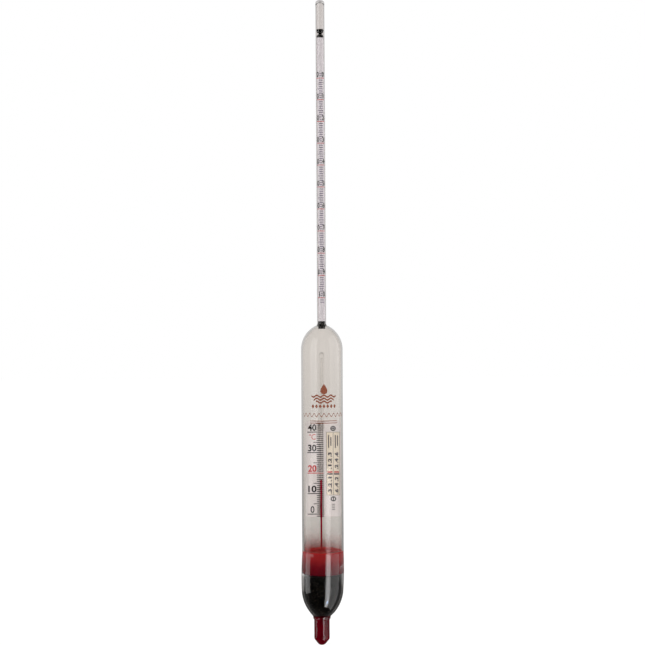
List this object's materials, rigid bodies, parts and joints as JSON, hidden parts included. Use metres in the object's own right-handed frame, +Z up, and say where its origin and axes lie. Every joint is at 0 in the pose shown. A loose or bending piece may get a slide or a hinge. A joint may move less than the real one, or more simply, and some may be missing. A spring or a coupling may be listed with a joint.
{
  "type": "hydrometer",
  "caption": "Sealed glass float with a paper density scale in its slim stem, and a built-in spirit thermometer with a card, for brewing and wine making.",
  "frame": {"origin": "on the body tube's axis, at the height of the lowest point of the thermometer bulb", "axes": "+Z up the stem, +X to the right of someone who reads the temperature card, -Y towards the reader"},
  "size_m": [0.0205, 0.0204, 0.31],
  "materials": {
    "body_glass": "clear flame-worked glass",
    "stem_glass": "clear flame-worked glass",
    "bulb_glass": "clear flame-worked glass, a little greyer over the ballast",
    "tip_glass": "thin clear glass over red spirit",
    "capillary_glass": "clear thick-walled capillary glass",
    "spirit": "dark red dyed spirit",
    "thread": "bright red dyed spirit",
    "shot": "fine dark metal shot, loosely packed",
    "wax": "translucent red sealing wax",
    "scale_paper": "smooth white scale paper, printed",
    "seal": "dull black sealing cement",
    "card_paper": "white card, printed",
    "slip_paper": "cream paper, printed",
    "cement": "clear yellowish cement"
  },
  "bodies": {
    "float": {"body_tube": "body_glass", "stem_tube": "stem_glass", "ballast_bulb": "bulb_glass", "thermometer_bulb": "tip_glass", "bulb_spirit": "spirit", "capillary_tube": "capillary_glass", "ballast_shot": "shot", "ballast_wax": "wax", "stem_scale": "scale_paper", "stem_seal_lower": "seal", "stem_seal_upper": "seal", "temperature_card": "card_paper", "correction_slip": "slip_paper", "card_cement_upper": "cement", "card_cement_lower": "cement"},
    "spirit": {"spirit_thread": "thread"}
  },
  "joints": [
    {"name": "spirit_rise", "type": "slide", "parent": "float", "child": "spirit", "axis": [0, 0, 1], "range_m": [-0.0168, 0.0228]}
  ]
}
